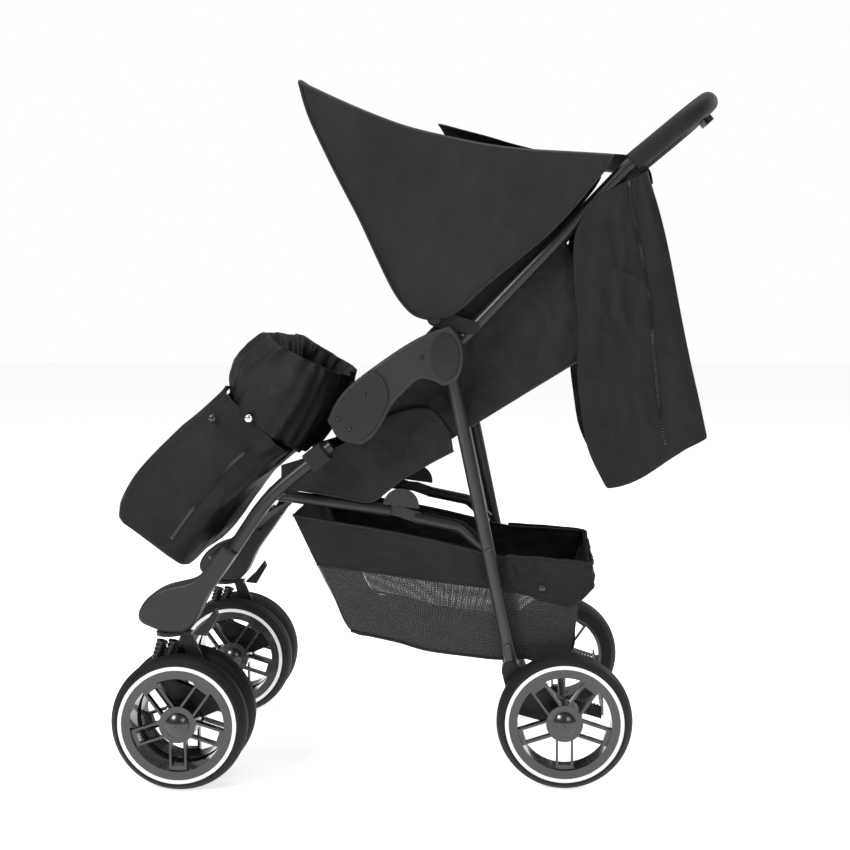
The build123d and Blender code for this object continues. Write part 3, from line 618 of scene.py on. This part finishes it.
def curtainPlace(u, v):
    # u runs round from the left front edge over the back to the right, v from the top down
    front = along(curtain["frontEdge"], v)
    back = along(curtain["backEdge"], v)
    side = min(u, 1 - u) / 0.3
    half = curtain["plane"] - 1
    if side < 1:
        spot = front.lerp(back, side)
        hem = Vector((0, 0))
        if v > 0.8:
            hem = Vector((0, -16 * math.sin(math.pi * min(side * 1.3, 1)) * ((v - 0.8) / 0.2) ** 2 * (1 - side)))
        wrinkle = 4.5 * ripple(spot[0] * 2.0, spot[1] * 0.4, 60, 11.0)
        wrinkle += 3.6 * crease(spot[0] * 1.6, spot[1] * 0.3, 40, 4.0)
        gather = 2.2 * math.sin(side * 95 + 4 * v) * max(0.0, 1 - v / 0.1)
        y = half - 2 + (wrinkle + gather - 3) * math.sin(math.pi * side) - 8 * ease((side - 0.86) / 0.14)
        return (spot[0] + hem[0], -y if u < 0.5 else y, spot[1] + hem[1])
    across = (u - 0.3) / 0.4
    y = half * (2 * across - 1) * 0.955
    belly = math.sin(math.pi * across)
    wave = 5 * ripple(y, back[1] * 0.4, 70, 6.0) + 4 * crease(y, back[1] * 0.25, 55, 9.0)
    return (back[0] - 4 + (wave - 3) * belly, y, back[1] + 3 * belly)


curtainSheet = clothPiece("curtainSheet", 90, 40, curtainPlace, wovenCloth, (0.75, 0.5), 1.4)
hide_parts("rear_curtain")
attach(curtainSheet, "push_bar")
print("stage: curtain")

# backrest and seat

back = {"hinge": (-30, 450), "lean": math.radians(31.6), "length": 400, "half": 152, "wall": 3}


def onBack(lengthwise, sideways, out):
    # a point on the backrest: up from its hinge, across, and out from its underside
    c, s = math.cos(back["lean"]), math.sin(back["lean"])
    return (back["hinge"][0] + lengthwise * c - out * s, sideways, back["hinge"][1] + lengthwise * s + out * c)


wingTop = [(0, 46), (40, 96), (80, 128), (125, 150), (180, 162), (240, 176), (300, 188), (350, 197), (400, 205)]


def shellPlace(u, v):
    # u runs from the left wing's top edge round the underside to the right wing's top edge
    lengthwise = 4 + v * 402
    rise = along(wingTop, v)[1]
    wing = min(u, 1 - u) / 0.32
    half = back["half"] if lengthwise > 60 else 133 + (back["half"] - 133) * ease(lengthwise / 60)
    if wing < 1:
        out = 3 + rise * (1 - wing)
        slack = 6 * ripple(lengthwise * 0.7, out, 60, 2.0 if u < 0.5 else 7.0)
        slack += 6 * crease(lengthwise * 0.8, out * 0.5, 60, 3.0)
        y = half - 2 - (8 - slack) * math.sin(math.pi * wing) * 0.9
        return onBack(lengthwise, -y if u < 0.5 else y, out)
    across = (u - 0.32) / 0.36
    slack = math.sin(math.pi * across)
    out = 4 - 2.0 * slack + 1.5 * ripple(lengthwise, across * 300, 80, 5.0) * slack
    return onBack(lengthwise, half * (2 * across - 1) * 0.99, out)


backShell = clothPiece("backShell", 74, 40, shellPlace, wovenCloth, (0.65, 0.41), 1.8)
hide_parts("back_shell")
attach(backShell, "backrest")
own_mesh(backShell)
wingEdge = [shellPlace(0, n / 30) for n in range(31)]
wingPiping = tubePiece("wingPiping", wingEdge, 2.2, pipingCloth)
wingPipingRight = mirrored(wingPiping, "wingPipingRight")
for piping in (wingPiping, wingPipingRight):
    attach(piping, "backrest")
    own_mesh(piping)


def puffed(piece, pressure, most):
    # swells a closed pad with the cloth solver, then keeps only the result
    start = [vert.co.copy() for vert in piece.data.vertices]
    solver = piece.modifiers.new("fill", "CLOTH")
    solver.settings.use_pressure = True
    solver.settings.uniform_pressure_force = pressure
    solver.settings.effector_weights.gravity = 0
    solver.settings.quality = 5
    for number in range(1, 21):
        bpy.context.scene.frame_set(number)
    grown = piece.evaluated_get(bpy.context.evaluated_depsgraph_get())
    swollen = [vert.co.copy() for vert in grown.data.vertices]
    piece.modifiers.remove(solver)
    for vert, old, new in zip(piece.data.vertices, start, swollen):
        step = new - old
        if step.length > most:
            step *= most / step.length
        vert.co = old + step
    bpy.context.scene.frame_set(1)


def padPiece(name, width, length, thick, place, material, channels, pressure=4.0, most=0.007):
    # a stuffed pad: a rounded slab in its own flat space, swollen, sewn and then put in place
    mesh = bmesh.new()
    bmesh.ops.create_grid(mesh, x_segments=34, y_segments=44, size=0.5)
    for vert in mesh.verts:
        x, y = vert.co.x * 2, vert.co.y * 2
        squeeze = 1 - 0.06 * max(0.0, abs(x) + abs(y) - 1.45)
        vert.co.x = x * width / 2 * squeeze * (1 - 0.018 * (1 - y * y))
        vert.co.y = y * length / 2 * squeeze * (1 - 0.018 * (1 - x * x))
    rest = bmesh.ops.extrude_face_region(mesh, geom=list(mesh.faces))
    for item in rest["geom"]:
        if isinstance(item, bmesh.types.BMVert):
            item.co.z += thick
    rim = [vert for vert in mesh.verts if abs(vert.co.x) > width * 0.462 or abs(vert.co.y) > length * 0.47]
    bmesh.ops.recalc_face_normals(mesh, faces=mesh.faces)
    bmesh.ops.scale(mesh, vec=(0.985, 0.985, 1), verts=rim)
    piece = shown(name, mesh, material)
    puffed(piece, pressure, most)
    layer = piece.data.uv_layers.new(name="cloth")
    for loop in piece.data.loops:
        spot = piece.data.vertices[loop.vertex_index].co
        layer.data[loop.index].uv = (spot.x + spot.z, spot.y + spot.z)
    for vert in piece.data.vertices:
        x, y, z = vert.co
        edge = max(abs(x) / (width / 2), abs(y) / (length / 2))
        crown = (1 - min(edge, 1.0) ** 4) if z > thick * 0.5 else 0
        groove = sum(math.exp(-(((y - line) / 0.005) ** 2)) for line in channels)
        drop = 0.006 * groove if z > thick * 0.5 else 0
        sag = 0.0022 * ripple(x * 1000, y * 1000, 60, 4.0) + 0.0016 * crease(x * 1000, y * 1000, 45, 2.0)
        lift = 0.004 * crown + sag * crown - drop
        vert.co = place(x * 1000, y * 1000, (z + lift) * 1000)
        vert.co *= 0.001
    soft = piece.modifiers.new("soft", "SUBSURF")
    soft.levels = soft.render_levels = 1
    return piece


def cushionPlace(x, y, z):
    return Vector((-116 + y, x, 439 + z * 0.86))


seatCushion = padPiece("seatCushion", 0.252, 0.138, 0.026, cushionPlace, quiltCloth, [-0.02, 0.03])
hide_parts("seat_cushion")
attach(seatCushion, "front_frame")


def backCushionPlace(x, y, z):
    return Vector(onBack(214 + y, x, 13 + z * 0.86))


backCushion = padPiece("backCushion", 0.25, 0.35, 0.02, backCushionPlace, quiltCloth, [-0.11, -0.04, 0.03, 0.1])
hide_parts("back_cushion")
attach(backCushion, "backrest")


def sidePlace(u, v):
    # the seat's side cover, from the front rail back to the backrest, v upwards
    low = along([(-194, 437), (-150, 430), (-100, 421), (-60, 414), (-36, 430), (-12, 449), (30, 474), (64, 493)], u)
    high = along([(-194, 471), (-165, 480), (-130, 491), (-98, 505), (-60, 532), (-14, 552), (30, 556), (60, 520)], u)
    spot = low.lerp(high, v)
    slack = 1.2 * ripple(spot[0], spot[1], 40, 3.0) * math.sin(math.pi * v) * math.sin(math.pi * u)
    return (spot[0], -(155 + slack), spot[1])


seatSide = clothPiece("seatSide", 40, 16, sidePlace, wovenCloth, (0.3, 0.12), 1.8)
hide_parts("seat_sides")
seatSideRight = mirrored(seatSide, "seatSideRight")
sideCord = tubePiece("seatSidePiping", [sidePlace(n / 20, 0.02) for n in range(21)], 2.0, pipingCloth)
sideCordRight = mirrored(sideCord, "seatSidePipingRight")
for piece in (seatSide, seatSideRight, sideCord, sideCordRight):
    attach(piece, "front_frame")


def strapPlace(side):
    def place(u, v):
        lengthwise = 45 + 240 * v
        out = 37.5 + 3.2 * math.sin(math.pi * min(max((lengthwise - 30) / 370, 0), 1))
        return onBack(lengthwise, side * (45 + 3 * math.sin(math.pi * v)) + 24 * (u - 0.5), out)
    return place


def lapPlace(u, v):
    y = -122 + 244 * v
    return onBack(52 + 22 * (u - 0.5), y, 38 + 5 * math.cos(math.pi * y / 244) + 0.6)


straps = [
    clothPiece("shoulderStrap", 3, 30, strapPlace(-1), webbing, (0.024, 0.24), 1.8),
    clothPiece("shoulderStrapRight", 3, 30, strapPlace(1), webbing, (0.024, 0.24), 1.8),
    clothPiece("lapStrap", 3, 30, lapPlace, webbing, (0.022, 0.25), 1.8),
]
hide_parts("harness_straps")
for strap, size in zip(straps, ((0.024, 0.245), (0.024, 0.245), (0.022, 0.255))):
    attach(strap, "backrest")
print("stage: seat and backrest")

# boot cover

boot = {
    "half": 152, "roundness": 7,
    "front": [
        (-450, 390), (-449, 412), (-432, 446), (-408, 474), (-378, 503), (-345, 534), (-314, 562), (-284, 586),
    ],
    "under": [
        (-345, 309), (-322, 332), (-300, 358), (-280, 386), (-258, 414), (-236, 440), (-212, 462), (-184, 486),
    ],
}


def roundedRing(turn, power):
    c, s = math.cos(turn), math.sin(turn)
    return (
        math.copysign(abs(c) ** (2 / power), c),
        math.copysign(abs(s) ** (2 / power), s),
    )


def bootPlace(u, v):
    toe = min(v / 0.09, 1.0)
    scale = math.sqrt(max(1 - (1 - toe) ** 2, 0.0))
    t = max(0.0, (v - 0.06) / 0.94)
    front, under = along(boot["front"], t), along(boot["under"], t)
    middle, reach = (front + under) / 2, (front - under) / 2
    push = Vector((-0.62, -0.6)) * (1 - math.sqrt(max(1 - (1 - toe) ** 2, 0))) * 2
    c, s = roundedRing(2 * math.pi * u, boot["roundness"])
    spot = middle + reach * c * scale + push
    y = boot["half"] * s * scale
    pull = v**1.6
    folds = 7 * crease(u * 800, v * 140, 70, 3.0) * (0.35 + 0.65 * pull)
    pleats = math.sin(u * 2 * math.pi * 17 + 3 * ripple(u * 500, 0, 90, 2.0))
    folds += 5.5 * ripple(u * 700, v * 260, 90, 5.0) + 3.5 * pleats * max(0.0, (v - 0.72) / 0.28) ** 2
    away = Vector((reach[0] * c * 0.9, y, reach[1] * c * 0.9))
    if away.length > 1:
        away.normalize()
    return Vector((spot[0], y, spot[1])) + away * (folds - 5.5) * min(scale + 0.1, 1)


bootShell = clothPiece("bootShell", 110, 46, bootPlace, wovenCloth, (0.85, 0.36), 1.6)
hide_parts("boot_cover")
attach(bootShell, "front_frame")


def cuffPlace(u, v):
    # the turned-down band: v runs from its lower outer edge up, over the fold and down inside
    c, s = roundedRing(2 * math.pi * u, 3.0)
    lowFront, lowBack = Vector((-286, 574)), Vector((-172, 482))
    bulgeFront = Vector((-268, 618))
    topFront, topBack = Vector((-228, 668)), Vector((-106, 606))
    if v < 0.55:
        t = v / 0.55
        front = lowFront.lerp(bulgeFront, min(t * 2, 1)) if t < 0.5 else bulgeFront.lerp(topFront, (t - 0.5) * 2)
        behind = lowBack.lerp(topBack, t)
        swell = math.sin(math.pi * t) ** 0.7
        width = 153 - 8 * t
    else:
        t = (v - 0.55) / 0.45
        front = topFront.lerp(Vector((-222, 610)), t)
        behind = topBack.lerp(Vector((-160, 540)), t)
        swell = -0.6 * math.sin(math.pi * t)
        width = 144 - 12 * t
    middle, reach = (front + behind) / 2, (front - behind) / 2
    spot = Vector((middle[0] + reach[0] * c, width * s, middle[1] + reach[1] * c))
    away = Vector((reach[0] * c, width * s * 0.6, reach[1] * c))
    away.normalize()
    gather = math.sin(u * 2 * math.pi * 23 + 5 * ripple(u * 900, v * 60, 80, 1.0))
    pleat = 2.6 * gather * (1 - 0.55 * math.sin(math.pi * min(v / 0.55, 1)))
    pleat += 7 * ripple(u * 1000, v * 120, 70, 6.0)
    pleat += 6 * crease(u * 1000 + v * 60, v * 90, 60, 8.0)
    return spot + away * (13 * swell + pleat - 3) + Vector((0, 0, 5 * ripple(u * 900, v * 50, 110, 9.0)))


bootCuff = clothPiece("bootCuff", 150, 26, cuffPlace, wovenCloth, (0.75, 0.22), 2.0)
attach(bootCuff, "front_frame")
print("stage: boot cover")

# basket

basketSizes = {"half": 155}
basketFront = [(-178, 396), (-152, 345), (-122, 282), (-92, 219)]
basketFloor = [(-92, 219), (-44, 209), (22, 191), (82, 183), (136, 178), (190, 182), (240, 190)]
basketRear = [(240, 190), (246, 226), (252, 262), (266, 296), (268, 326)]
netTop = [(-143, 320), (-96, 314), (-51, 308), (20, 298), (109, 287), (160, 279), (205, 270), (251, 262)]


def bandPlace(u, v):
    # the woven upper band of the side
    top = along([(-178, 395), (-130, 386), (-60, 375), (20, 360), (84, 345), (140, 332), (200, 328), (266, 324)], u)
    low = along(netTop, u)
    spot = top.lerp(low, v)
    slack = 3.2 * ripple(spot[0], spot[1], 38, 2.0) + 3.5 * crease(spot[0] * 0.6, spot[1], 30, 6.0)
    slack *= math.sin(math.pi * v) ** 0.6
    slack *= math.sin(math.pi * min(u * 1.02, 1)) ** 0.4
    return (spot[0], -(basketSizes["half"] - 4 + slack), spot[1] - 2 * slack * v)


def netPlace(u, v):
    top = along(netTop, u)
    low = along([(-92, 219), (-66, 213), (-20, 203), (22, 191), (82, 183), (136, 178), (190, 182), (240, 190)], u)
    spot = top.lerp(low, v)
    slack = 2.4 * ripple(spot[0], spot[1], 50, 4.0) + 2.0 * crease(spot[0] * 0.5, spot[1], 40, 3.0)
    slack *= math.sin(math.pi * v)
    return (spot[0], -(basketSizes["half"] - 4 + slack), spot[1])


def floorPlace(u, v):
    outline = basketFront[:-1] + basketFloor + basketRear[1:]
    spot = along(outline, u)
    sag = math.sin(math.pi * v)
    y = (basketSizes["half"] - 4) * (2 * v - 1)
    drop = 3 * sag * (1 if 0.2 < u < 0.8 else 0)
    return (
        spot[0] + 2 * ripple(spot[0], y, 50, 1.0) * sag, y,
        spot[1] - drop + 3 * ripple(spot[0], y, 60, 4.0) * sag,
    )


basketBand = clothPiece("basketBand", 60, 16, bandPlace, wovenCloth, (0.46, 0.07), 1.4)
basketNet = clothPiece("basketNet", 60, 20, netPlace, netCloth, (0.42, 0.11), 0, 1)
basketBandRight = mirrored(basketBand, "basketBandRight")
basketNetRight = mirrored(basketNet, "basketNetRight")
basketFloorPiece = clothPiece("basketFloor", 70, 30, floorPlace, wovenCloth, (0.72, 0.31), 1.4)
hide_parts("basket")
for piece, size in (
    (basketBand, (0.42, 0.063)), (basketBandRight, (0.42, 0.063)),
    (basketNet, (0.4, 0.09)), (basketNetRight, (0.4, 0.09)), (basketFloorPiece, (0.7, 0.32)),
):
    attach(piece, "front_frame")

rim = [bandPlace(n / 40, 0.0) for n in range(41)]
seam = [bandPlace(n / 40, 1.0) for n in range(41)]
lower = [netPlace(n / 40, 1.0) for n in range(41)]
for label, line, radius in (("basketRim", rim, 2.6), ("basketSeam", seam, 1.8), ("basketHem", lower, 2.2)):
    cord = tubePiece(label, line, radius, pipingCloth)
    twin = mirrored(cord, label + "Right")
    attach(cord, "front_frame")
    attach(twin, "front_frame")


def pouchPlace(u, v):
    # the pocket's turned-over top at the basket's rear end: u runs from the left side round the back
    side = min(u, 1 - u) / 0.32
    top = along([(141, 336), (175, 334), (215, 331), (250, 328), (272, 324)], min(side, 1))
    low = along([(150, 293), (183, 274), (215, 266), (244, 262), (274, 290)], min(side, 1))
    spot = top.lerp(low, v)
    slack = 4.5 * ripple(u * 900, v * 60, 45, 2.0) + 5 * crease(u * 900, v * 50, 40, 7.0)
    slack *= math.sin(math.pi * min(v + 0.15, 1))
    if side < 1:
        y = basketSizes["half"] - 1 + (slack if slack > 0 else slack * 0.3)
        return (spot[0], -y if u < 0.5 else y, spot[1] - 0.5 * slack)
    across = (u - 0.32) / 0.36
    y = (basketSizes["half"] - 1) * (2 * across - 1)
    return (spot[0] + slack * 0.6, y, spot[1] - 3 * math.sin(math.pi * across))


pouch = clothPiece("rearPouch", 90, 14, pouchPlace, wovenCloth, (0.6, 0.07), 1.8)
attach(pouch, "front_frame")
pouchRim = tubePiece("pouchRim", [pouchPlace(n / 60, 0.0) for n in range(61)], 2.4, pipingCloth)
pouchHem = tubePiece("pouchHem", [pouchPlace(n / 60, 1.0) for n in range(61)], 1.8, pipingCloth)
for piece in (pouchRim, pouchHem):
    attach(piece, "front_frame")
print("stage: basket")

# small fittings

snaps = studPiece("bootSnaps", [(-241, -158, 541, (0, -1, 0)), (-241, 158, 541, (0, 1, 0))], 6.5, 3.5, chrome)
darkSnaps = studPiece(
    "darkSnaps",
    [
        (-296, -156, 541, (0, -1, 0)), (-296, 156, 541, (0, 1, 0)),
        (196, -160, 288, (0, -1, 0)), (196, 160, 288, (0, 1, 0)),
    ],
    6, 3, glossTrim,
)
for piece in (snaps, darkSnaps):
    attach(piece, "front_frame")


def zipPiece(name, line, outward, material):
    # teeth set one after another along the line; line is a list of points in millimetres
    mesh = bmesh.new()
    count = int(sum((Vector(b) - Vector(a)).length for a, b in zip(line, line[1:])) / 2.6)
    for number in range(count):
        t = number / (count - 1)
        spot, ahead = along(line, t), along(line, min(t + 0.01, 1.0)) if t < 0.99 else None
        if ahead is None:
            ahead = spot + (spot - along(line, t - 0.01))
        tooth = bmesh.ops.create_cube(mesh, size=1)["verts"]
        lengthwise = (ahead - spot).normalized()
        out = Vector(outward)
        across = lengthwise.cross(out).normalized()
        turn = Matrix((across, lengthwise, out)).transposed().to_4x4()
        grow = Matrix.Diagonal((0.0044, 0.0017, 0.0016, 1))
        bmesh.ops.transform(mesh, matrix=Matrix.Translation(spot * 0.001) @ turn @ grow, verts=tooth)
    return shown(name, mesh, material, smooth=False)


zipLine = []
for n in range(21):
    v = n / 20 * 0.93 + 0.02
    x, y, z = curtainPlace(0.3 * (0.60 + 0.10 * math.sin(math.pi * v)), v)
    zipLine.append((x, y - 2.2, z))
curtainZip = zipPiece("curtainZip", zipLine, (0, -1, 0), glossTrim)
curtainZipRight = mirrored(curtainZip, "curtainZipRight")
bootZipLine = [tuple(bootPlace(0.745, 0.2 + 0.75 * n / 20) + Vector((0, -2, 0))) for n in range(21)]
bootZip = zipPiece("bootZip", bootZipLine, (0, -1, 0), glossTrim)
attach(curtainZip, "push_bar")
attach(curtainZipRight, "push_bar")
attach(bootZip, "front_frame")
print("stage: fittings")

size = {"cad": cadBox, "visual": [list(corner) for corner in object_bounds()]}
